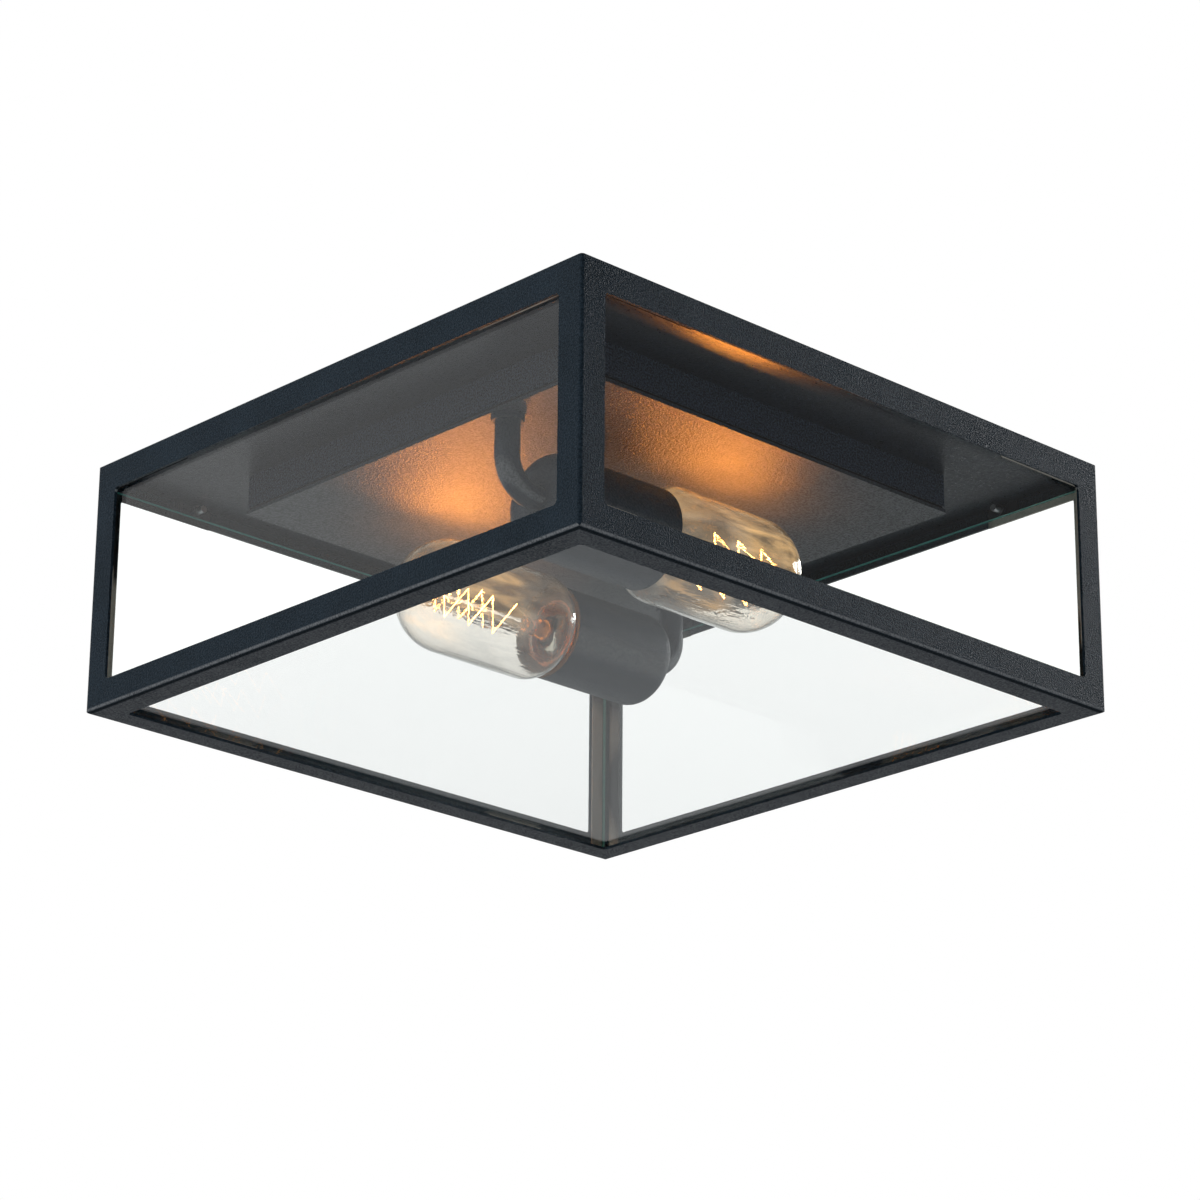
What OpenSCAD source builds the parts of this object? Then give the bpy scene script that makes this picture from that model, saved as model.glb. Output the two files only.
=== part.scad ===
// Porch ceiling lantern: a square, glazed sheet-steel lantern that closes a two-lamp tray on a
// porch ceiling. +Z is up and the ceiling is the plane z = 0, with the origin in the middle of it.
// The glazed lantern drops straight down off the tray for relamping, once four screws are slack.

/* [Lantern] */
// outer width of the square lantern
lantern_w = 290; // [220:1:400]
// height from the ceiling to the bottom flange
lantern_h = 107; // [90:1:160]
// visible width of the posts, rails and bottom flange
rail_w = 12; // [8:0.5:20]
// sheet thickness of the lantern sides
sheet_t = 1.2; // [0.8:0.1:2]
// outer radius of the fold between a side and its bottom flange
fold_r = 2; // [1.4:0.1:4]
// corner radius of the window cut-outs and of the opening in the bottom
window_r = 2; // [0.5:0.1:4]
// radius ground on the welded upright corners
corner_r = 1.4; // [0.8:0.1:3]

/* [Glazing] */
// glass thickness
glass_t = 3; // [2:0.5:5]
// height of the top edge of the side panes below the ceiling
glass_drop = 10; // [9.5:0.5:12]
// thickness of the foam tape between glass and sheet
tape_t = 0.8; // [0.5:0.1:1.5]
// width of the foam tape
tape_w = 6; // [4:0.5:10]

/* [Back plate and tray] */
// underside of the back plate below the ceiling
plate_drop = 4.3; // [4:0.1:10]
// sheet thickness of the back plate and the tray
plate_t = 1.2; // [0.8:0.1:2]
// outer width of the tray
tray_w = 200; // [150:0.2:240]
// bottom edge of the tray walls below the ceiling
tray_drop = 18.2; // [14:0.2:40]
// outer width of the cover plate
cover_w = 201.4; // [150:0.2:240]
// thickness of the cover plate
cover_t = 1.5; // [1:0.1:3]
// thickness of the rubber gasket between tray and cover plate
gasket_t = 1.5; // [1:0.1:3]

/* [Lamp holders] */
// distance of each lamp axis from the middle of the lantern
lamp_y = 51.2; // [45:0.1:60]
// depth of the lamp axes below the ceiling
lamp_drop = 51.1; // [48:0.1:60]
// distance of the arms from the middle of the lantern
arm_x = 94; // [85:0.5:94]
// outer diameter of the arm tube
arm_d = 10; // [8:0.5:12]
// centre-line radius of the bend in the arm
bend_r = 14; // [12:0.5:20]
// outer diameter of the lamp-holder can
can_d = 39.6; // [38:0.2:44]
// position of the open mouth of the can along the lamp axis
can_mouth = 21.5; // [18:0.5:26]
// position of the closed end of the can along the lamp axis
can_end = 78; // [74:0.5:80]
// radius of the rounded closed end of the can
can_r = 7; // [3:0.5:10]

/* [Bulbs] */
// diameter of the tubular glass bulb
bulb_d = 45.6; // [40:0.2:48]
// position of the domed tip of the bulb along the lamp axis
bulb_tip = -56; // [-60:0.5:-50]
// wall thickness of the bulb glass
bulb_t = 0.8; // [0.5:0.1:1.2]
// crest diameter of the screw cap
cap_d = 26.6; // [26:0.1:27]
// pitch of the cap thread
cap_pitch = 3.6; // [3.6:0.01:3.7]
// diameter of the filament, with its coiling
filament_d = 0.5; // [0.3:0.1:1]
// number of strokes in each zigzag leg of the filament
strokes = 6; // [4:1:8]

/* [Fixings] */
// distance of the fixing screws from the middle of their side
screw_y = 95; // [60:1:110]
// diameter of the fixing screws
screw_d = 3; // [3:0.5:4]
// depth of the fixing screws below the ceiling
screw_drop = 7; // [7:0.1:7.4]
// distance between the two ceiling slots of the bracket
slot_gap = 110; // [60:1:140]
// width of the ceiling slots
slot_w = 5; // [4:0.5:7]
// end-to-end length of the ceiling slots
slot_l = 18; // [8:1:25]
// radius of the cable hole in the grommet
cable_r = 4.5; // [3:0.5:7]

/* [Hidden] */

$fn = 48;
eps = 0.01;

// colours as in the photograph
COAT = [0.14, 0.15, 0.17];
GLASS = [0.80, 0.88, 0.86, 0.35];
BULB_GLASS = [0.95, 0.88, 0.75, 0.30];
BLACK = [0.05, 0.05, 0.05];
STEEL = [0.70, 0.71, 0.72];
COPPER = [0.72, 0.40, 0.26];
BRASS = [0.76, 0.62, 0.32];
GLOW = [1.00, 0.72, 0.30];

half = lantern_w / 2;
inner = half - sheet_t;              // inner face of the lantern sides
win_half = half - rail_w;            // half width of a window
glass_out = inner - tape_t;          // outer face of the side panes
glass_in = glass_out - glass_t;
flange_top = sheet_t - lantern_h;    // upper face of the bottom flange
pad_t = 0.6;                         // pads under the bottom pane
pane_floor = flange_top + pad_t;     // underside of the bottom pane
pane_seat = pane_floor + glass_t;    // the side panes stand on the bottom pane
plate_half = inner - 0.5;            // outer face of the back plate's rim
tray_half = tray_w / 2;
gasket_in = 0.6;                     // the gasket sits back from the tray wall by this
cover_top = -tray_drop - gasket_t;
cover_low = cover_top - cover_t;
lamp_z = -lamp_drop;
arm_r = arm_d / 2;
arm_wall = 1;
can_wall = 1.2;
core_face = can_mouth + 3;           // front face of the insulating core in the can
core_floor = 56;                     // bottom of the core's bore
core_end = 60;
boss_end = can_end - can_wall;        // the core's boss stands on the closed end of the can
cap_r = cap_d / 2;
cap_in = cap_r - 0.85;               // inner radius of the cap shell
shell_r = cap_r + 0.06;              // running fit of the cap in the screw shell
shell_wall = 0.5;
bore_r = shell_r + shell_wall;
run_in = boss_end - 8;               // the arm ends at this place in the boss
cap_face = 26;
cap_end = 47.5;
tip_end = 52;
bulb_r = bulb_d / 2;
shoulder_r = 12;                     // radius of the bulb's shoulder
shoulder_s = 11;                     // where the shoulder begins
neck_r = cap_in;                     // the neck is cemented into the cap
neck_end = 31;
rod_r = 1.5;                         // glass rod that carries the filament hooks
press_s = 8;                         // where the press of the stem ends
cage_r = 10.5;                       // radius of the filament's corners about the axis
cage_near = -6;                      // where the filament starts, along the lamp axis
cage_step = 6.6;
cage_swing = 42;                     // swing of the zigzag either way, in degrees
button_r = 2.3;                      // end of the glass rod
rod_end = cage_near - strokes * cage_step + button_r + 0.9;   // short of the last stroke
cable_y = 40;                        // the cable comes in here, at x = 0
earth_x = -60;
stud_r = 3;
ear_w = 16;
ear_drop = 9.7;
slack = 0.3;                         // side clearance of the open slots

// ---- plan and profile helpers ----

module rounded_rect(w, h, r) {
    square([w, h - 2 * r], center = true);
    square([w - 2 * r, h], center = true);
    for (x = [-1, 1], y = [-1, 1])
        translate([x * (w / 2 - r), y * (h / 2 - r)]) circle(r);
}

module slot(length, width, depth) {
    linear_extrude(depth) {
        square([length - width, width], center = true);
        for (x = [-1, 1]) translate([x * (length - width) / 2, 0]) circle(width / 2);
    }
}

module frame_ring(outer, inner_w, depth) {
    linear_extrude(depth) difference() {
        square(outer, center = true);
        square(inner_w, center = true);
    }
}

// a ring about the lamp axis: its profile is drawn as [radius, position along the axis]
module turned() {
    rotate([0, 90, 0]) rotate_extrude($fn = 64) children();
}

// lamp 1 points towards -X from its holder, lamp 2 is the same, turned half round
module at_lamp(n) {
    rotate([0, 0, n == 1 ? 0 : 180]) translate([0, lamp_y, lamp_z]) children();
}

module at_arm(n) {
    rotate([0, 0, n == 1 ? 0 : 180]) translate([arm_x, lamp_y, 0]) children();
}

function turn_to(v) = [0, acos(v[2] / norm(v)), atan2(v[1], v[0])];

module wire(p, q, d) {
    translate(p) rotate(turn_to(q - p)) cylinder(d = d, h = norm(q - p), $fn = 16);
}

// ---- lantern ----

// side, fold and bottom flange as one bent strip, seen along the side
module side_profile() {
    translate([0, fold_r]) square([sheet_t, lantern_h - fold_r]);
    translate([fold_r, 0]) square([rail_w + window_r - fold_r, sheet_t]);
    intersection() {
        translate([fold_r, fold_r]) difference() {
            circle(fold_r);
            circle(fold_r - sheet_t);
        }
        square(fold_r);
    }
}

// plan of one side: from corner to corner, mitred at 45 degrees, the corners ground round
module mitre_plan() {
    deep = rail_w + window_r;
    intersection() {
        polygon([[-half, -half], [half, -half], [half - deep, deep - half], [deep - half, deep - half]]);
        rounded_rect(lantern_w, lantern_w, corner_r);
    }
}

module window_cut() {
    translate([0, 0.5 - half, -lantern_h / 2]) rotate([90, 0, 0])
        translate([0, 0, -3])
            linear_extrude(6)
                rounded_rect(2 * win_half, lantern_h - 2 * rail_w, window_r);
}

module open_slot(x) {
    w = screw_d + 2 * slack;
    translate([x, 3 - half, -screw_drop]) rotate([90, 0, 0]) cylinder(d = w, h = 6);
    translate([x - w / 2, -half - 3, -screw_drop]) cube([w, 6, screw_drop + 1]);
}

module side_panel(slotted) {
    difference() {
        intersection() {
            translate([-half, -half, -lantern_h]) rotate([90, 0, 90])
                linear_extrude(lantern_w) side_profile();
            translate([0, 0, -lantern_h - 1]) linear_extrude(lantern_h + 2) mitre_plan();
        }
        window_cut();
        translate([0, 0, -lantern_h - 1]) linear_extrude(sheet_t + 2)
            rounded_rect(2 * win_half, 2 * win_half, window_r);
        if (slotted) for (x = [-screw_y, screw_y]) open_slot(x);
    }
}

module front_panel() color(COAT) side_panel(false);
module right_panel() color(COAT) rotate([0, 0, 90]) side_panel(true);
module back_panel() color(COAT) rotate([0, 0, 180]) side_panel(true);
module left_panel() color(COAT) rotate([0, 0, 270]) side_panel(false);

module side_pane(half_run) {
    color(GLASS)
        translate([-half_run, -glass_out, pane_seat])
            cube([2 * half_run, glass_t, -glass_drop - pane_seat]);
}

module front_pane() side_pane(glass_in - 0.3);
module right_pane() rotate([0, 0, 90]) side_pane(glass_out - 0.1);
module back_pane() rotate([0, 0, 180]) side_pane(glass_in - 0.3);
module left_pane() rotate([0, 0, 270]) side_pane(glass_out - 0.1);

module bottom_pane() {
    run = 2 * glass_out - 0.8;
    color(GLASS) translate([0, 0, pane_floor + glass_t / 2]) cube([run, run, glass_t], center = true);
}

// foam tape: an upright strip on every post, two lengths under each top rail and pads on the
// flange; it was cut by hand, so some of it shows past the edge of the sheet
module glazing_tape() {
    tall = -glass_drop - pane_seat;
    upright_x = win_half + 0.5;
    top_l = 46;
    show = [0, 0.8, 0.8, 0];         // how far the top strips of each side hang past the rail
    pad_l = 30;
    pad_w = 4;
    color(BLACK) for (i = [0 : 3]) rotate([0, 0, 90 * i]) {
        for (x = [-upright_x - tape_w, upright_x])
            translate([x, -inner, pane_seat]) cube([tape_w, tape_t, tall]);
        for (x = [-upright_x, upright_x - top_l])
            translate([x, -inner, -rail_w - show[i]])
                cube([top_l, tape_t, rail_w + show[i] - glass_drop]);
        for (x = [-80, 80])
            translate([x - pad_l / 2, -win_half - pad_w - 1, flange_top]) cube([pad_l, pad_w, pad_t]);
    }
    color(BLACK) translate([-upright_x, -inner, pane_seat + 3]) cube([18, tape_t, 5]);
}

// ---- fixing screws, through the open slots of the right and back panels ----

module fixing_screw() {
    head_r = 3.2;
    head_h = 2;
    rim_h = 0.7;
    socket_af = 2.3;
    reach = 9;
    color(STEEL) rotate([0, 90, 0]) difference() {
        union() {
            translate([0, 0, -reach]) cylinder(d = screw_d, h = reach + eps);
            cylinder(r = head_r, h = rim_h);
            translate([0, 0, rim_h - eps]) cylinder(r1 = head_r, r2 = 1.9, h = head_h - rim_h);
        }
        translate([0, 0, head_h - 1.3]) cylinder(d = socket_af, h = 2, $fn = 6);
    }
}

module at_screw(a, y) {
    gap = 0.15;
    rotate([0, 0, a]) translate([half + gap, y, -screw_drop]) children();
}

module fixing_screw_1() at_screw(0, -screw_y) fixing_screw();
module fixing_screw_2() at_screw(0, screw_y) fixing_screw();
module fixing_screw_3() at_screw(90, -screw_y) fixing_screw();
module fixing_screw_4() at_screw(90, screw_y) fixing_screw();

// ---- ceiling parts ----

module bracket() {
    bar_l = 140;
    bar_w = 28;
    bar_t = 1.5;
    boss_h = plate_drop - plate_t - bar_t;
    color(STEEL) difference() {
        union() {
            translate([0, 0, -bar_t]) linear_extrude(bar_t) rounded_rect(bar_l, bar_w, 4);
            translate([0, 0, -bar_t - boss_h]) cylinder(r = 5, h = boss_h + eps);
        }
        translate([0, 0, -bar_t - boss_h - 1]) cylinder(r = stud_r + 0.05, h = 6);
        for (x = [-1, 1])
            translate([x * slot_gap / 2, 0, -bar_t - 1]) slot(slot_l, slot_w, bar_t + 2);
        for (x = [-25, 25]) translate([x, 0, -bar_t - 1]) cylinder(d = 4, h = bar_t + 2);
    }
}

module centre_stud() {
    color(STEEL) translate([0, 0, -28]) cylinder(r = stud_r, h = 27.7);
}

// shallow pan with an upturned rim and four ears that take the fixing screws
module back_plate() {
    rim_top = 0.3;
    color(COAT) difference() {
        union() {
            difference() {
                translate([-plate_half, -plate_half, -plate_drop])
                    cube([2 * plate_half, 2 * plate_half, plate_drop - rim_top]);
                translate([plate_t - plate_half, plate_t - plate_half, plate_t - plate_drop])
                    cube([2 * (plate_half - plate_t), 2 * (plate_half - plate_t), plate_drop]);
            }
            for (a = [0, 90], y = [-screw_y, screw_y]) rotate([0, 0, a]) back_ear(y);
        }
        for (a = [0, 90], y = [-screw_y, screw_y]) rotate([0, 0, a])
            translate([plate_half - 3, y, -screw_drop]) rotate([0, 90, 0])
                cylinder(r = screw_d / 2 + 0.2, h = 6);
        translate([0, 0, -plate_drop - 1]) cylinder(r = stud_r + 0.3, h = 4);
        translate([0, cable_y, -plate_drop - 1]) cylinder(r = 8, h = 4);
        translate([earth_x, cable_y, -plate_drop - 1]) cylinder(r = 1.7, h = 4);
    }
}

module back_ear(y) {
    corner = 3;
    translate([plate_half - plate_t, y, 0]) rotate([90, 0, 90]) linear_extrude(plate_t) {
        translate([-ear_w / 2, corner - ear_drop])
            square([ear_w, ear_drop - corner - plate_drop + plate_t / 2]);
        translate([corner - ear_w / 2, -ear_drop]) square([ear_w - 2 * corner, corner + eps]);
        for (x = [-1, 1]) translate([x * (ear_w / 2 - corner), corner - ear_drop]) circle(corner);
    }
}

module clinch_nuts() {
    color(STEEL) for (a = [0, 90], y = [-screw_y, screw_y]) rotate([0, 0, a])
        translate([plate_half - plate_t - 2.2, y, -screw_drop]) rotate([0, 90, 0]) difference() {
            cylinder(r = 2.6, h = 2.2);
            translate([0, 0, -1]) cylinder(r = screw_d / 2 + 0.05, h = 5);
        }
}

// rubber grommet that grips the edge of the cable hole
module cable_grommet() {
    groove_r = 8;
    lip_r = 10;
    lip_t = 1.1;
    color(BLACK) translate([0, cable_y, -plate_drop]) rotate_extrude() difference() {
        union() {
            translate([cable_r, -2.5]) square([groove_r - cable_r, plate_t + 2.5 + lip_t]);
            translate([cable_r, plate_t]) square([lip_r - cable_r, lip_t]);
            translate([cable_r, -2.5]) square([lip_r - cable_r, 2.5]);
        }
        translate([lip_r + 0.6, -2.8]) circle(2);
    }
}

module tray_wall() {
    lip = 10;
    color(COAT) {
        translate([0, 0, -tray_drop])
            frame_ring(tray_w, tray_w - 2 * plate_t, tray_drop - plate_drop);
        translate([0, 0, -plate_drop - plate_t])
            frame_ring(tray_w - plate_t, tray_w - 2 * plate_t - 2 * lip, plate_t);
    }
}

module tray_gasket() {
    gasket_w = 3;
    outer = tray_w - 2 * gasket_in;
    color(BLACK) translate([0, 0, cover_top]) frame_ring(outer, outer - 2 * gasket_w, gasket_t);
}

module cover_plate() {
    color(COAT) difference() {
        translate([0, 0, cover_low]) linear_extrude(cover_t) rounded_rect(cover_w, cover_w, 1);
        for (n = [1, 2]) at_arm(n) translate([0, 0, cover_low - 1]) cylinder(r = arm_r + 0.1, h = 4);
        translate([0, 0, cover_low - 1]) cylinder(r = stud_r + 0.3, h = 4);
    }
}

module cover_washer() {
    color(STEEL) translate([0, 0, cover_low - 1]) difference() {
        cylinder(r = 7, h = 1);
        translate([0, 0, -1]) cylinder(r = stud_r + 0.2, h = 3);
    }
}

module dome_nut() {
    flat = 10;
    hex_h = 5;
    dome_r = 4.7;
    color(COAT) translate([0, 0, cover_low - 1]) difference() {
        union() {
            translate([0, 0, -hex_h]) cylinder(d = flat / cos(30), h = hex_h, $fn = 6);
            translate([0, 0, -hex_h]) intersection() {
                sphere(dome_r);
                translate([-dome_r, -dome_r, -dome_r]) cube([2 * dome_r, 2 * dome_r, dome_r + 0.5]);
            }
        }
        translate([0, 0, -6]) cylinder(r = stud_r + 0.05, h = 7);
    }
}

// three-way screw terminal, out of sight in the tray
module terminal_block() {
    long = 30;
    deep = 17;
    high = 12;
    pitch = 10;
    color([0.9, 0.9, 0.88]) translate([-62, 0, -plate_drop - high]) difference() {
        translate([-long / 2, -deep / 2, 0]) cube([long, deep, high]);
        for (i = [-1, 0, 1]) translate([i * pitch, 0, 4]) {
            rotate([90, 0, 0]) cylinder(r = 1.8, h = deep + 2, center = true);
            for (y = [-4.5, 4.5]) translate([0, y, -5]) cylinder(r = 2, h = 5);
        }
        for (i = [-1, 1]) translate([i * pitch / 2, 0, -1]) cylinder(r = 1.6, h = high + 2);
    }
}

module earth_screw() {
    color(BRASS) translate([earth_x, cable_y, -plate_drop]) {
        translate([0, 0, -2.4]) cylinder(r = 3.4, h = 2.4);
        cylinder(r = 1.65, h = 3);
    }
}

// ---- arms and lamp holders ----

module arm(n) {
    low = lamp_z + bend_r;
    color(COAT) at_arm(n) difference() {
        union() {
            translate([0, 0, low]) cylinder(r = arm_r, h = cover_top - low);
            translate([-bend_r, 0, low]) rotate([90, 0, 0]) rotate([0, 0, -90])
                rotate_extrude(angle = 90) translate([bend_r, 0]) circle(arm_r);
            translate([run_in - arm_x, 0, lamp_z]) rotate([0, 90, 0])
                cylinder(r = arm_r, h = arm_x - bend_r - run_in);
        }
        translate([0, 0, low]) cylinder(r = arm_r - arm_wall, h = cover_top - low + 1);
        translate([-bend_r, 0, low]) rotate([90, 0, 0]) rotate([0, 0, -90])
            rotate_extrude(angle = 90) translate([bend_r, 0]) circle(arm_r - arm_wall);
        translate([run_in - arm_x - 1, 0, lamp_z]) rotate([0, 90, 0])
            cylinder(r = arm_r - arm_wall, h = arm_x - bend_r - run_in + 1);
    }
}

module arm_collar(n) {
    color(COAT) at_arm(n) translate([0, 0, cover_low - 2.4]) difference() {
        union() {
            translate([0, 0, 0.6]) cylinder(r = 6.6, h = 1.8);
            cylinder(r1 = 6, r2 = 6.6, h = 0.6);
        }
        translate([0, 0, -1]) cylinder(r = arm_r, h = 5);
    }
}

module can_outline(r, corner, from, to) {
    translate([0, from]) square([r, to - corner - from]);
    translate([0, from]) square([r - corner, to - from]);
    translate([r - corner, to - corner]) circle(corner);
}

module holder_can(n) {
    color(COAT) at_lamp(n) turned() difference() {
        can_outline(can_d / 2, can_r, can_mouth, can_end);
        can_outline(can_d / 2 - can_wall, can_r - can_wall, can_mouth - 1, can_end - can_wall);
        translate([0, can_mouth - 5]) square([arm_r + 0.05, can_end]);
    }
}

// insulating core: a cup for the screw shell and a boss that grips the arm
module holder_core(n) {
    color(BLACK) at_lamp(n) turned() difference() {
        union() {
            translate([0, core_face]) square([can_d / 2 - can_wall - 0.1, core_end - core_face]);
            translate([0, core_end - 1]) square([9, boss_end - core_end + 1]);
        }
        translate([0, core_face - 1]) square([bore_r, core_floor - core_face + 1]);
        translate([0, core_floor - 1]) square([2, boss_end]);
        translate([0, run_in]) square([arm_r + 0.03, 10]);
    }
}

// copper shell, with a lip turned out over the front of the core
module screw_shell(n) {
    lip_w = 1.1;
    front = core_face - shell_wall;
    floor_r = 10.5;
    floor_s = cap_end + 2;
    color(COPPER) at_lamp(n) turned() {
        translate([shell_r, front]) square([lip_w, shell_wall]);
        translate([shell_r, front]) square([shell_wall, floor_s - front]);
        translate([floor_r, floor_s]) square([shell_r + shell_wall - floor_r, shell_wall]);
    }
}

// springy tongue that the tip of the bulb presses
module centre_contact(n) {
    strip_t = 0.5;
    low = core_floor - 0.5;
    rise = tip_end + 0.3;
    color(COPPER) at_lamp(n) rotate([90, 0, 0]) translate([0, 0, -3]) linear_extrude(6) polygon([
        [core_floor, 3], [core_floor, 10], [low, 10], [low, 3.3], [rise, 1.8], [rise, -4],
        [rise + strip_t, -4], [rise + strip_t, 1.5]
    ]);
}

// ---- bulbs ----

module thread_ring(s) {
    translate([0, s]) polygon([
        [0, 0], [cap_r - 0.5, 0], [cap_r, 0.3 * cap_pitch], [cap_r, 0.5 * cap_pitch],
        [cap_r - 0.5, 0.8 * cap_pitch], [cap_r - 0.5, cap_pitch], [0, cap_pitch]
    ]);
}

module bulb_cap(n) {
    rings = 5;
    thread_s = cap_end - rings * cap_pitch;
    color(BRASS) at_lamp(n) turned() difference() {
        union() {
            translate([0, cap_face]) square([cap_r - 0.5, thread_s - cap_face + eps]);
            for (i = [0 : rings - 1]) thread_ring(thread_s + i * cap_pitch);
        }
        translate([0, cap_face - 1]) square([cap_in, cap_end - cap_face + 1 - 0.4]);
        square([9, cap_end + 1]);
    }
}

module cap_insulator(n) {
    color(BLACK) at_lamp(n) turned() polygon([
        [0, cap_end - 0.4], [9, cap_end - 0.4], [9, cap_end + 0.3], [5, tip_end - 1.6],
        [0, tip_end - 1.6]
    ]);
}

module cap_tip(n) {
    color(STEEL) at_lamp(n) turned() polygon([
        [0, tip_end - 1.6], [4.6, tip_end - 1.6], [4.2, tip_end - 0.8], [2.5, tip_end], [0, tip_end]
    ]);
}

// half profile of the bulb: dome, tube, rounded shoulder and neck, drawn in by the wall t
module bulb_outline(t, to) {
    intersection() {
        union() {
            translate([0, bulb_tip + bulb_r]) circle(bulb_r - t, $fn = 96);
            translate([0, bulb_tip + bulb_r])
                square([bulb_r - t, shoulder_s - bulb_tip - bulb_r]);
            translate([bulb_r - shoulder_r, shoulder_s]) circle(shoulder_r - t, $fn = 96);
            square([neck_r - t, to]);
        }
        translate([0, bulb_tip - 1]) square([bulb_r + 1, to - bulb_tip + 1]);
    }
}

module bulb_glass(n) {
    color(BULB_GLASS) at_lamp(n) turned() difference() {
        bulb_outline(0, neck_end);
        bulb_outline(bulb_t, neck_end + 1);
    }
}

// flared foot in the neck, then the press and the rod with its button
module stem(n) {
    foot_r = neck_r - bulb_t;
    color(BULB_GLASS) at_lamp(n) turned() union() {
        polygon([
            [0, press_s], [3.4, press_s], [3.8, press_s + 8], [foot_r - 2, 28],
            [foot_r, 30.5], [foot_r - 1.2, 30.5], [foot_r - 3.4, 28.6], [0, 24]
        ]);
        translate([0, rod_end]) square([rod_r, press_s + 0.5 - rod_end]);
        intersection() {
            translate([0, rod_end]) circle(button_r);
            translate([0, rod_end - 5]) square([5, 10]);
        }
    }
}

function cage_corner(leg, i) =
    let (side = i % 2 == 0 ? -cage_swing : cage_swing, a = 30 + 180 * leg + side)
    [cage_near - i * cage_step, cage_r * cos(a), cage_r * sin(a)];

// down one side of the rod and back up the other
filament_path = [
    for (i = [0 : strokes]) cage_corner(0, i),
    for (i = [strokes : -1 : 0]) cage_corner(1, i)
];

module filament(n) {
    last = len(filament_path) - 1;
    color(GLOW) at_lamp(n) union() {
        for (i = [0 : last - 1]) wire(filament_path[i], filament_path[i + 1], filament_d);
        for (i = [1 : last - 1])
            translate(filament_path[i]) sphere(d = filament_d * 1.25, $fn = 16);
    }
}

// steel hooks from the rod to each corner, and the two lead wires from the press
module hooks(n) {
    hook_d = 0.35;
    lead_d = 0.6;
    last = len(filament_path) - 1;
    color(STEEL) at_lamp(n) {
        for (i = [1 : last - 1]) {
            p = filament_path[i];
            u = [0, p[1], p[2]] / cage_r;
            wire([max(p[0], rod_end), 0, 0] + u * rod_r / 2, p - u * filament_d / 4, hook_d);
        }
        for (i = [0, last]) {
            p = filament_path[i];
            u = [0, p[1], p[2]] / cage_r;
            wire([press_s + 1, 0, 0] + u * 2.4, p, lead_d);
        }
    }
}

front_panel();
right_panel();
back_panel();
left_panel();
front_pane();
right_pane();
back_pane();
left_pane();
bottom_pane();
glazing_tape();
fixing_screw_1();
fixing_screw_2();
fixing_screw_3();
fixing_screw_4();
bracket();
centre_stud();
back_plate();
clinch_nuts();
cable_grommet();
tray_wall();
tray_gasket();
cover_plate();
cover_washer();
dome_nut();
terminal_block();
earth_screw();
arm(1);  // arm_1
arm_collar(1);  // arm_collar_1
holder_can(1);  // holder_can_1
holder_core(1);  // holder_core_1
screw_shell(1);  // screw_shell_1
centre_contact(1);  // centre_contact_1
arm(2);  // arm_2
arm_collar(2);  // arm_collar_2
holder_can(2);  // holder_can_2
holder_core(2);  // holder_core_2
screw_shell(2);  // screw_shell_2
centre_contact(2);  // centre_contact_2
bulb_cap(1);  // bulb_cap_1
cap_insulator(1);  // cap_insulator_1
cap_tip(1);  // cap_tip_1
bulb_glass(1);  // bulb_glass_1
stem(1);  // stem_1
hooks(1);  // hooks_1
filament(1);  // filament_1
bulb_cap(2);  // bulb_cap_2
cap_insulator(2);  // cap_insulator_2
cap_tip(2);  // cap_tip_2
bulb_glass(2);  // bulb_glass_2
stem(2);  // stem_2
hooks(2);  // hooks_2
filament(2);  // filament_2
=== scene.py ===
"""Looks of the porch ceiling lantern: finishes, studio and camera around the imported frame."""
import math

import bmesh
import bpy
from mathutils import Matrix, Vector

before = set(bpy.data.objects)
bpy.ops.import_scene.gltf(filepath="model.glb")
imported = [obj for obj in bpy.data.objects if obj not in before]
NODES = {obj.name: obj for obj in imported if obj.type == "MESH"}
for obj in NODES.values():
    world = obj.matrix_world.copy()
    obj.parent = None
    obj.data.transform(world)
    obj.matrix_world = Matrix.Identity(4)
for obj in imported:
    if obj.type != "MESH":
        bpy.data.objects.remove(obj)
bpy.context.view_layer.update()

WHITE = (1.0, 1.0, 1.0)

# places in metres, in the frame of the CAD
LAMP_Y = 0.0512             # the lamp axes run along x, at this y on either side
LAMP_Z = -0.0511
FLOOR_Z = -2.3
FLOOR_HALF = 30.0

PANE_IOR = 1.38             # lower than real glass: the photograph's panes reflect little
PANE_TINT = (0.985, 0.998, 0.992)
BULB_IOR = 1.45
EDGE_TILT = 0.5             # a face whose normal lies this far along a pane is a cut edge


# ---------------------------------------------------------------- node helpers

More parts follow.
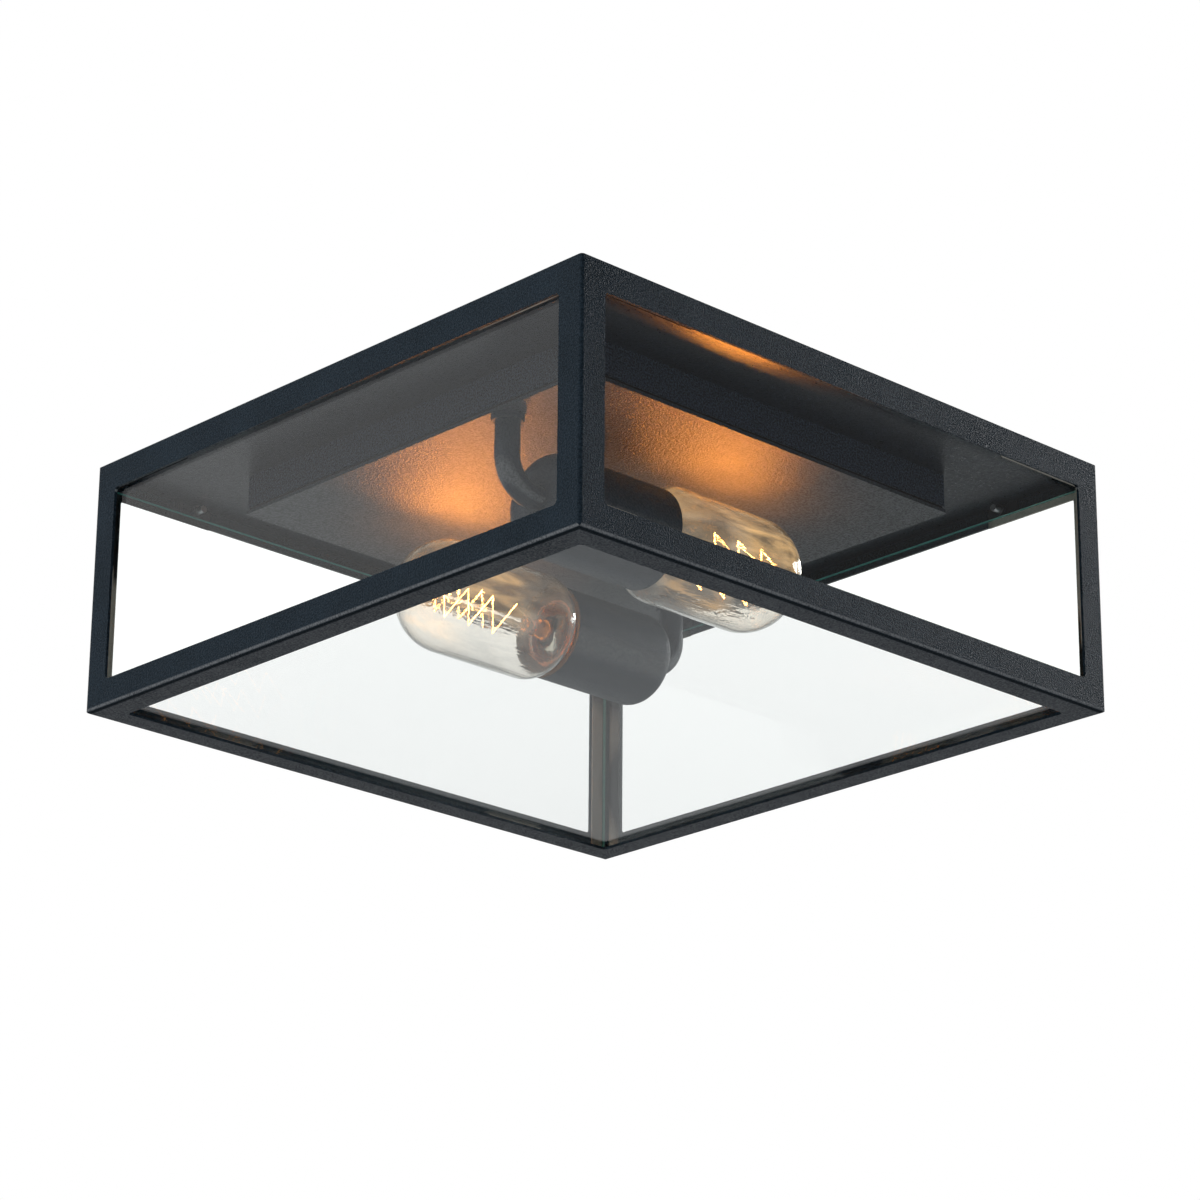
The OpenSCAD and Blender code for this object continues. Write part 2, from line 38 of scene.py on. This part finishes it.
class Shader:
    """A material's node tree, with short calls for the nodes used here."""

    def __init__(self, name, world=False):
        self.mat = bpy.data.worlds.new(name) if world else bpy.data.materials.new(name)
        self.mat.use_nodes = True
        self.tree = self.mat.node_tree
        self.tree.nodes.clear()
        self.out = self.tree.nodes.new("ShaderNodeOutputWorld" if world else "ShaderNodeOutputMaterial")

    def node(self, kind, props=None, **inputs):
        n = self.tree.nodes.new("ShaderNode" + kind)
        for k, v in (props or {}).items():
            setattr(n, k, v)
        for k, v in inputs.items():
            self.put(n.inputs[k.replace("_", " ")], v)
        return n

    def put(self, socket, value):
        if isinstance(value, bpy.types.NodeSocket):
            self.tree.links.new(value, socket)
        elif isinstance(value, bpy.types.Node):
            self.tree.links.new(value.outputs[0], socket)
        else:
            socket.default_value = value

    def math(self, op, a, b=0.0, clamp=False):
        n = self.node("Math", {"operation": op, "use_clamp": clamp})
        self.put(n.inputs[0], a)
        self.put(n.inputs[1], b)
        return n.outputs[0]

    def parts(self, vector):
        n = self.node("SeparateXYZ")
        self.put(n.inputs[0], vector)
        return n.outputs

    def place(self):
        return self.node("TexCoord").outputs["Object"]

    def noise(self, scale, detail=2.0, rough=0.5, seed=0.0):
        shift = self.node("Mapping", Location=(seed, seed * 0.7, -seed))
        self.put(shift.inputs["Vector"], self.place())
        return self.node("TexNoise", Vector=shift.outputs[0], Scale=scale, Detail=detail,
                         Roughness=rough).outputs[0]

    def span(self, value, lo, hi, to_lo=0.0, to_hi=1.0):
        n = self.node("MapRange", {"clamp": True})
        ends = ("Value", "From Min", "From Max", "To Min", "To Max")
        for k, v in zip(ends, (value, lo, hi, to_lo, to_hi)):
            self.put(n.inputs[k], v)
        return n.outputs[0]

    def band(self, value, rise, fall):
        """1 between the two ramps, 0 outside them."""
        return self.math("MULTIPLY", self.span(value, *rise), self.span(value, *fall))

    def mix(self, fac, a, b):
        n = self.node("MixShader")
        for s, v in zip(n.inputs, (fac, a, b)):
            self.put(s, v)
        return n.outputs[0]

    def blend(self, fac, a, b):
        n = self.node("Mix", {"data_type": "RGBA"})
        self.put(n.inputs[0], fac)
        self.put(n.inputs[6], a if not isinstance(a, tuple) else (*a, 1.0))
        self.put(n.inputs[7], b if not isinstance(b, tuple) else (*b, 1.0))
        return n.outputs[2]

    def bump(self, relief, depth, height):
        return self.node("Bump", Strength=relief, Distance=depth, Height=height)

    def seen(self, path):
        """Rays that the camera sends, straight or through glass."""
        return self.math("MAXIMUM", path.outputs["Is Camera Ray"], path.outputs["Is Transmission Ray"])

    def done(self, surface):
        self.put(self.out.inputs["Surface"], surface)
        return self.mat


def principled(s, colour, rough, metal=0.0, **more):
    n = s.node("BsdfPrincipled")
    s.put(n.inputs["Base Color"], (*colour, 1.0) if isinstance(colour, tuple) else colour)
    s.put(n.inputs["Roughness"], rough)
    s.put(n.inputs["Metallic"], metal)
    for k, v in more.items():
        s.put(n.inputs[k.replace("_", " ")], v)
    return n


def finished(s, shader, bump):
    s.put(shader.inputs["Normal"], bump.outputs[0])
    return s.done(shader.outputs[0])


# ---------------------------------------------------------------- finishes

# how far a face looks down, as minus its normal's z, on the folds between a side and the bottom: where the
# painted highlight line and the painted shade line lie
PAINTED_HIGHLIGHT_RISE, PAINTED_HIGHLIGHT_FALL = (0.08, 0.30), (0.72, 0.52)
SHADE_RISE, SHADE_FALL = (0.60, 0.78), (0.995, 0.95)
PAINTED_HIGHLIGHT_GAIN = 2.2             # a painted highlight line against the painted sheen
SHADE_SHARE = 0.85


def powder_coat(name, dark, light, grain, relief, rough, spec=0.4, fleck=0.8, sheen=(0.09, 0.094, 0.098)):
    """Fine-textured powder coat: rounded grains with dark pits, faint clouds, a painted sheen that lightens
    the colour where the face is seen at a slant, and on the sheet folds a painted highlight line with a
    painted shade line below it."""
    s = Shader(name)
    fine = s.noise(1.0 / grain, 2.0, 0.6)
    cloud = s.noise(40.0, 3.0, 0.6, 3.1)
    pit = s.span(fine, 0.40, 0.62)
    tone = s.math("ADD", s.math("MULTIPLY", pit, fleck), s.math("MULTIPLY", cloud, 1.0 - fleck))
    tilt = s.math("MULTIPLY", s.parts(s.node("NewGeometry").outputs["Normal"])["Z"], -1.0)
    # painted highlight: a light line on the fold where it turns down; painted shade: a dark line below it
    painted_highlight = s.band(tilt, PAINTED_HIGHLIGHT_RISE, PAINTED_HIGHLIGHT_FALL)
    shade = s.band(tilt, SHADE_RISE, SHADE_FALL)
    # painted sheen: the colour turns to the sheen colour where the face is seen at a slant
    painted_sheen = s.span(s.node("LayerWeight", Blend=0.5).outputs["Facing"], 0.45, 0.70)
    painted_sheen = s.math("MULTIPLY", painted_sheen, s.span(tone, 0.2, 0.7, 0.25, 0.85))
    painted_highlight = s.math("MULTIPLY", painted_highlight, s.span(tone, 0.2, 0.6, 0.3, 0.8))
    colour = s.blend(painted_sheen, s.blend(tone, dark, light), sheen)
    colour = s.blend(painted_highlight, colour, tuple(PAINTED_HIGHLIGHT_GAIN * v for v in sheen))
    colour = s.blend(s.math("MULTIPLY", shade, SHADE_SHARE), colour, dark)
    roughness = s.span(fine, 0.3, 0.7, rough + 0.12, rough - 0.12)
    coat = principled(s, colour, roughness, Specular_IOR_Level=spec)
    return finished(s, coat, s.bump(relief, grain * 0.8, fine))


def lets_light_through(s, glass, tint):
    """Glass for what the camera sees, and plain see-through for light on its way to what is behind."""
    path = s.node("LightPath")
    # a ray that glass has bent counts as glossy too, and has to be bent back where it leaves
    bounced = s.math("MAXIMUM", path.outputs["Is Diffuse Ray"], path.outputs["Is Glossy Ray"])
    bounced = s.math("SUBTRACT", bounced, path.outputs["Is Transmission Ray"], clamp=True)
    light = s.math("MAXIMUM", path.outputs["Is Shadow Ray"], bounced)
    return s.mix(light, glass, s.node("BsdfTransparent", Color=(*tint, 1.0)).outputs[0])


def pane_glass(name, axes):
    """Float glass: clear faces, bottle-green cut edges. axes are the pane's two long directions."""
    s = Shader(name)
    normal = s.parts(s.node("NewGeometry").outputs["Normal"])
    edge = 0.0
    for a in axes:
        edge = s.math("MAXIMUM", edge, s.math("ABSOLUTE", normal[a]))
    edge = s.math("GREATER_THAN", edge, EDGE_TILT)
    clear = principled(s, PANE_TINT, 0.0, Transmission_Weight=1.0, IOR=PANE_IOR)
    cut = principled(s, (0.06, 0.34, 0.30), 0.25, Transmission_Weight=0.25, IOR=1.5)
    return s.done(s.mix(edge, lets_light_through(s, clear.outputs[0], PANE_TINT), cut.outputs[0]))


# the painted glow on a bulb's glass, standing in for its wire's light: where its upper half is warm, and where
# the wire's halo lies
PAINTED_GLOW_RISE = (LAMP_Z - 0.004, LAMP_Z + 0.014)
HALO_START, HALO_END = (0.000, 0.016), (0.052, 0.040)       # along the bulb, towards its tip
HALO_HEIGHT = (0.019, 0.007)                                # above and below the axis
PAINTED_GLOW_SHARE = (0.01, 0.07)                                   # weakest and strongest share of the painted glow
PAINTED_GLOW_PLAIN, PAINTED_GLOW_WARM, PAINTED_GLOW_HALO = (0.98, 0.97, 0.88), (1.0, 0.62, 0.28), (1.0, 0.60, 0.24)
PAINTED_GLOW_LOW, HALO_GAIN = 0.45, 4.2


def blown_glass(name, tint, upper_glow, side):
    """Thin blown glass with drawn waves along the bulb, and a faint painted glow on it: an emission that
    stands in for its own wire's light, warm on the upper half and brightest in a halo by the wire. side is the
    direction of the bulb's tip along x."""
    s = Shader(name)
    drawn = s.node("Mapping", Scale=(0.22, 1.0, 1.0))
    s.put(drawn.inputs["Vector"], s.place())
    wave = s.node("TexNoise", Vector=drawn.outputs[0], Scale=190.0, Detail=3.0, Roughness=0.55,
                  Distortion=0.6).outputs[0]
    glass = principled(s, tint, 0.0, Transmission_Weight=1.0, IOR=BULB_IOR)
    s.put(glass.inputs["Normal"], s.bump(0.4, 0.0005, wave).outputs[0])
    at = s.parts(s.place())
    above = s.span(at["Z"], *PAINTED_GLOW_RISE)
    level = s.math("ABSOLUTE", s.math("SUBTRACT", at["Z"], LAMP_Z))
    halo = s.band(s.math("MULTIPLY", at["X"], side), HALO_START, HALO_END)
    halo = s.math("MULTIPLY", halo, s.span(level, *HALO_HEIGHT))
    glow = s.math("ADD", s.span(above, 0.0, 1.0, PAINTED_GLOW_LOW, upper_glow), s.math("MULTIPLY", halo, HALO_GAIN))
    # painted glow: an emission on the glass in place of the light its own wire throws on it
    painted_glow = s.node("Emission")
    s.put(painted_glow.inputs["Strength"], glow)
    s.put(painted_glow.inputs["Color"], s.blend(halo, s.blend(above, PAINTED_GLOW_PLAIN, PAINTED_GLOW_WARM), PAINTED_GLOW_HALO))
    glass_with_glow = s.mix(s.span(wave, 0.40, 0.66, *PAINTED_GLOW_SHARE), glass.outputs[0], painted_glow.outputs[0])
    return s.done(lets_light_through(s, glass_with_glow, tint))


def metal(name, dark, light, rough):
    s = Shader(name)
    fine = s.noise(1.0 / 0.0004, 3.0, 0.6)
    cloud = s.noise(160.0, 3.0, 0.6, 2.3)
    body = principled(s, s.blend(cloud, dark, light), s.span(cloud, 0.3, 0.7, rough - 0.08, rough + 0.12), 1.0)
    return finished(s, body, s.bump(0.25, 0.0004 * 0.1, fine))


def moulded(name, dark, light, rough):
    s = Shader(name)
    fine = s.noise(1.0 / 0.0006, 3.0, 0.6)
    cloud = s.noise(90.0, 3.0, 0.6, 4.2)
    tone = s.math("ADD", s.math("MULTIPLY", cloud, 0.7), s.math("MULTIPLY", fine, 0.3))
    roughness = s.span(cloud, 0.3, 0.7, rough - 0.06, rough + 0.1)
    body = principled(s, s.blend(tone, dark, light), roughness, Specular_IOR_Level=0.5)
    return finished(s, body, s.bump(0.3, 0.0006 * 0.15, fine))


def thin_wire(s, surface):
    """A wire this thin throws no shadow worth drawing from a lamp as close as its own filament."""
    shadow = s.node("LightPath").outputs["Is Shadow Ray"]
    return s.done(s.mix(shadow, surface, s.node("BsdfTransparent").outputs[0]))


def glazing_foam(name):
    """Closed-cell glazing tape, black, with its pale liner showing along some stretches."""
    s = Shader(name)
    cells = s.noise(1800.0, 3.0, 0.6)
    liner = s.span(s.noise(11.0, 1.0, 0.4, 5.3), 0.52, 0.56)
    black = s.blend(cells, (0.004, 0.005, 0.006), (0.022, 0.024, 0.026))
    pale = s.blend(cells, (0.30, 0.27, 0.23), (0.62, 0.58, 0.52))
    foam = principled(s, s.blend(liner, black, pale), 0.85, Specular_IOR_Level=0.3)
    return finished(s, foam, s.bump(0.7, 0.0001, cells))


def glowing_wire(name):
    """Tungsten wire, brighter and dimmer along its length. It shows to the camera, and at a quarter in
    reflections; what it lights is left to the bulb's own lamps."""
    s = Shader(name)
    heat = s.span(s.noise(140.0, 2.0, 0.5, 0.6), 0.35, 0.65, 6.0, 18.0)
    wire = principled(s, (0.8, 0.45, 0.2), 0.4, 0.6, Emission_Color=(1.0, 0.44, 0.11, 1.0))
    path = s.node("LightPath")
    shows = s.math("MAXIMUM", s.seen(path), s.math("MULTIPLY", path.outputs["Is Glossy Ray"], 0.25))
    s.put(wire.inputs["Emission Strength"], s.math("MULTIPLY", heat, shows))
    return thin_wire(s, wire.outputs[0])


def hook_wire(name):
    """Dull molybdenum wire of the filament's hooks and leads."""
    s = Shader(name)
    cloud = s.noise(160.0, 3.0, 0.6, 2.3)
    wire = principled(s, s.blend(cloud, (0.40, 0.38, 0.36), (0.62, 0.60, 0.57)), 0.4, 1.0)
    return thin_wire(s, wire.outputs[0])


COAT = powder_coat("coat", (0.001, 0.006, 0.010), (0.031, 0.054, 0.079), 0.00065, 1.0, 0.5,
                   0.10, 0.5, (0.15, 0.157, 0.165))
COAT_TRAY = powder_coat("coat_tray", (0.003, 0.006, 0.010), (0.040, 0.058, 0.084), 0.0008, 1.0, 0.46, 1.0)
# a lighter copy of the coat for the tray wall: painted light
COAT_WALL_PAINTED_LIGHT = powder_coat("coat_wall_painted_light", (0.003, 0.008, 0.018), (0.075, 0.104, 0.160), 0.0008, 1.0, 0.5, 0.3)
# a darker copy of the coat for the back plate in the tray's shadow: painted shade
COAT_BACK_PAINTED_SHADE = powder_coat("coat_back_painted_shade", (0.001, 0.003, 0.007), (0.005, 0.010, 0.020), 0.0012, 0.1, 0.38,
                        1.0, 0.1, (0.008, 0.014, 0.026))
# a lighter copy of the coat, with a finer grain, for the arms and cans: painted light
COAT_FINE_PAINTED_LIGHT = powder_coat("coat_fine_painted_light", (0.015, 0.023, 0.034), (0.050, 0.067, 0.090), 0.0008, 0.4, 0.5,
                        0.35, 0.5)
BULB_GLASS = (
    blown_glass("bulb_glass_1", (0.99, 0.97, 0.93), 0.6, -1.0),
    blown_glass("bulb_glass_2", (0.99, 0.96, 0.90), 2.2, 1.0),
)
FOAM = glazing_foam("foam")
RUBBER = moulded("rubber", (0.008, 0.008, 0.009), (0.02, 0.02, 0.021), 0.6)
ZINC = metal("zinc", (0.55, 0.56, 0.57), (0.72, 0.73, 0.74), 0.34)
BRASS = metal("brass", (0.62, 0.42, 0.16), (0.80, 0.60, 0.28), 0.3)
COPPER = metal("copper", (0.58, 0.22, 0.10), (0.86, 0.42, 0.24), 0.32)
CAP_BRASS = metal("cap_brass", (0.70, 0.55, 0.30), (0.84, 0.70, 0.44), 0.28)
DARK_MOULDED = moulded("dark_moulded", (0.012, 0.010, 0.009), (0.034, 0.028, 0.024), 0.5)
BLACK_MOULDED = moulded("black_moulded", (0.010, 0.010, 0.010), (0.025, 0.024, 0.023), 0.35)
NYLON = moulded("nylon", (0.62, 0.61, 0.57), (0.74, 0.73, 0.69), 0.45)
GLOW = glowing_wire("filament_glow")
HOOK = hook_wire("hook_wire")

PANES = {
    "front_pane": (0, 2), "back_pane": (0, 2),
    "left_pane": (1, 2), "right_pane": (1, 2),
    "bottom_pane": (0, 1),
}

FINISHES = {
    "front_panel": COAT, "right_panel": COAT, "back_panel": COAT, "left_panel": COAT,
    "back_plate": COAT_BACK_PAINTED_SHADE, "tray_wall": COAT_WALL_PAINTED_LIGHT, "cover_plate": COAT_TRAY, "dome_nut": COAT_TRAY,
    "glazing_tape": FOAM, "tray_gasket": RUBBER, "cable_grommet": RUBBER,
    "bracket": ZINC, "centre_stud": ZINC, "clinch_nuts": COAT_BACK_PAINTED_SHADE, "cover_washer": ZINC,
    "terminal_block": NYLON, "earth_screw": BRASS,
}
for k in (1, 2, 3, 4):
    FINISHES[f"fixing_screw_{k}"] = ZINC
for k, glass in enumerate(BULB_GLASS, 1):
    FINISHES.update({
        f"arm_{k}": COAT_FINE_PAINTED_LIGHT, f"arm_collar_{k}": COAT_FINE_PAINTED_LIGHT, f"holder_can_{k}": COAT_FINE_PAINTED_LIGHT,
        f"holder_core_{k}": DARK_MOULDED, f"screw_shell_{k}": COPPER, f"centre_contact_{k}": COPPER,
        f"bulb_cap_{k}": CAP_BRASS, f"cap_insulator_{k}": BLACK_MOULDED, f"cap_tip_{k}": ZINC,
        f"bulb_glass_{k}": glass, f"stem_{k}": glass, f"hooks_{k}": HOOK, f"filament_{k}": GLOW,
    })
for name, axes in PANES.items():
    FINISHES[name] = pane_glass(name, axes)

for name, mat in FINISHES.items():
    for slot in NODES[name].material_slots:
        slot.material = mat


# ---------------------------------------------------------------- studio

BACKDROP = 1.25             # strength behind glass, to make up for what two panes take away
FLOOR_LIFT = 0.38           # paleness that the floor shows to the camera, and that lights nothing
ROOM_LIGHT, ROOM_COLOUR = 0.35, (0.94, 0.97, 1.0)
LEFT_WINDOW = (-0.645, 0.680, 0.349)
BEHIND = (0.645, 0.680, 0.349)
SOFTBOX_AIM = (0, 0, -0.05)

# small lamps that make up a bulb's light: cone in degrees, and how soft its rim is
WARM = (1.0, 0.33, 0.045)
LAMP_RADIUS = 0.004
ALONG = (0.012, 0.025, 0.038)                   # places along the filament
UP, UP_WATTS, UP_CONE = Vector((0, 0, 1)), 0.05, (140.0, 0.8)
GLOW_WAY, GLOW_WATTS, GLOW_CONE = Vector((-0.034, -0.034, 0.030)), (0.11, 0.075), (95.0, 1.0)
RIM_AIM, RIM_WATTS, RIM_CONE = (0.055, 0.130), 0.16, (70.0, 1.0)
MOUTH_WATTS, MOUTH_CONE = 0.16, (80.0, 0.6)


def add_lamp(name, kind, at, to, power):
    """A lamp at one place that faces another."""
    data = bpy.data.lights.new(name, kind)
    data.energy = power
    o = bpy.data.objects.new(name, data)
    o.location = at
    o.rotation_euler = (Vector(to) - Vector(at)).to_track_quat("-Z", "Y").to_euler()
    bpy.context.scene.collection.objects.link(o)
    return o


def softbox(name, at, side, power):
    data = add_lamp(name, "AREA", at, SOFTBOX_AIM, power).data
    data.shape = "RECTANGLE"
    data.size = data.size_y = side


def bulb_light(name, at, to, power, cone):
    """Part of a bulb's light. The glowing wire is what shows, not this lamp."""
    o = add_lamp(name, "SPOT", at, to, power)
    o.data.color = WARM
    o.data.shadow_soft_size = LAMP_RADIUS
    o.data.cycles.use_multiple_importance_sampling = False
    o.data.spot_size = math.radians(cone[0])
    o.data.spot_blend = cone[1]
    o.visible_camera = o.visible_transmission = False


def light_bulb(k, side):
    """The lamps of bulb k, whose tip points along side * x."""
    def on_axis(out, drop=0.0):
        return Vector((side * out, -side * LAMP_Y, LAMP_Z - drop))

    for j, out in enumerate(ALONG, 1):
        at = on_axis(out)
        bulb_light(f"bulb_light_{k}_{j}", at, at + UP, UP_WATTS, UP_CONE)
        bulb_light(f"bulb_glow_{k}_{j}", at, at + GLOW_WAY, GLOW_WATTS[k - 1], GLOW_CONE)
    rim = (-side * RIM_AIM[0], -side * RIM_AIM[1], 0.0)
    bulb_light(f"bulb_light_{k}_low", on_axis(0.025, 0.008), rim, RIM_WATTS, RIM_CONE)
    bulb_light(f"bulb_light_{k}_mouth", on_axis(0.030), on_axis(0.0), MOUTH_WATTS, MOUTH_CONE)


def lay_floor():
    bm = bmesh.new()
    bmesh.ops.create_grid(bm, x_segments=4, y_segments=4, size=FLOOR_HALF)
    mesh = bpy.data.meshes.new("floor")
    bm.to_mesh(mesh)
    bm.free()
    floor = bpy.data.objects.new("floor", mesh)
    floor.location = (0.0, 0.0, FLOOR_Z)
    bpy.context.scene.collection.objects.link(floor)
    s = Shader("floor")
    board = principled(s, (0.76, 0.76, 0.76), 0.9, Specular_IOR_Level=0.2, Emission_Color=(*WHITE, 1.0))
    shown = s.math("MULTIPLY", s.seen(s.node("LightPath")), FLOOR_LIFT)
    s.put(board.inputs["Emission Strength"], shown)
    floor.data.materials.append(s.done(board.outputs[0]))


def set_world():
    """The backdrop and a broad window on the left are white, and the rest of the room is dimmer."""
    w = Shader("studio", world=True)
    bpy.context.scene.world = w.mat
    way = w.node("TexCoord").outputs["Generated"]

    def towards(direction):
        n = w.node("VectorMath", {"operation": "DOT_PRODUCT"})
        w.put(n.inputs[0], way)
        w.put(n.inputs[1], Vector(direction).normalized())
        return n.outputs["Value"]

    window = w.span(towards(LEFT_WINDOW), 0.5, 0.9, 0.14, 0.68)
    backdrop = w.span(towards(BEHIND), 0.72, 0.90)
    room = w.math("MAXIMUM", window, backdrop)
    path = w.node("LightPath")
    through = w.math("MULTIPLY", path.outputs["Is Transmission Ray"], BACKDROP)
    white = w.math("MAXIMUM", path.outputs["Is Camera Ray"], through)
    shown = w.node("Background", Color=(*WHITE, 1.0))
    w.put(shown.inputs["Strength"], w.math("MAXIMUM", room, white))
    lit = w.node("Background", Color=(*ROOM_COLOUR, 1.0), Strength=ROOM_LIGHT)
    shows = w.math("MAXIMUM", w.seen(path), path.outputs["Is Glossy Ray"])
    w.done(w.mix(shows, lit.outputs[0], shown.outputs[0]))


lay_floor()
set_world()
softbox("softbox_left", (-2.4, 0.5, 1.6), 1.6, 29.0)
softbox("softbox_right", (2.4, -0.6, 0.9), 0.9, 25.0)
light_bulb(1, -1.0)
light_bulb(2, 1.0)


# ---------------------------------------------------------------- camera

# fitted to the lantern's corners in the photograph
CAMERA_AT = Vector((-1.0447, -1.1048, -0.6247))
CAMERA_AHEAD = Vector((0.6447652, 0.6800015, 0.3491071))
CAMERA_UP = Vector((-0.2457777, -0.2480343, 0.9370551))
CAMERA_LENS = 119.97
SENSOR = 36.0


def make_camera():
    data = bpy.data.cameras.new("camera")
    data.lens = CAMERA_LENS
    data.sensor_width = SENSOR
    data.clip_start = 0.01
    cam = bpy.data.objects.new("camera", data)
    ahead = CAMERA_AHEAD.normalized()
    right = ahead.cross(CAMERA_UP).normalized()
    m = Matrix((right, right.cross(ahead), -ahead)).transposed().to_4x4()
    m.translation = CAMERA_AT
    cam.matrix_world = m
    bpy.context.scene.collection.objects.link(cam)
    bpy.context.scene.camera = cam


make_camera()
bpy.context.scene.view_settings.view_transform = "Standard"
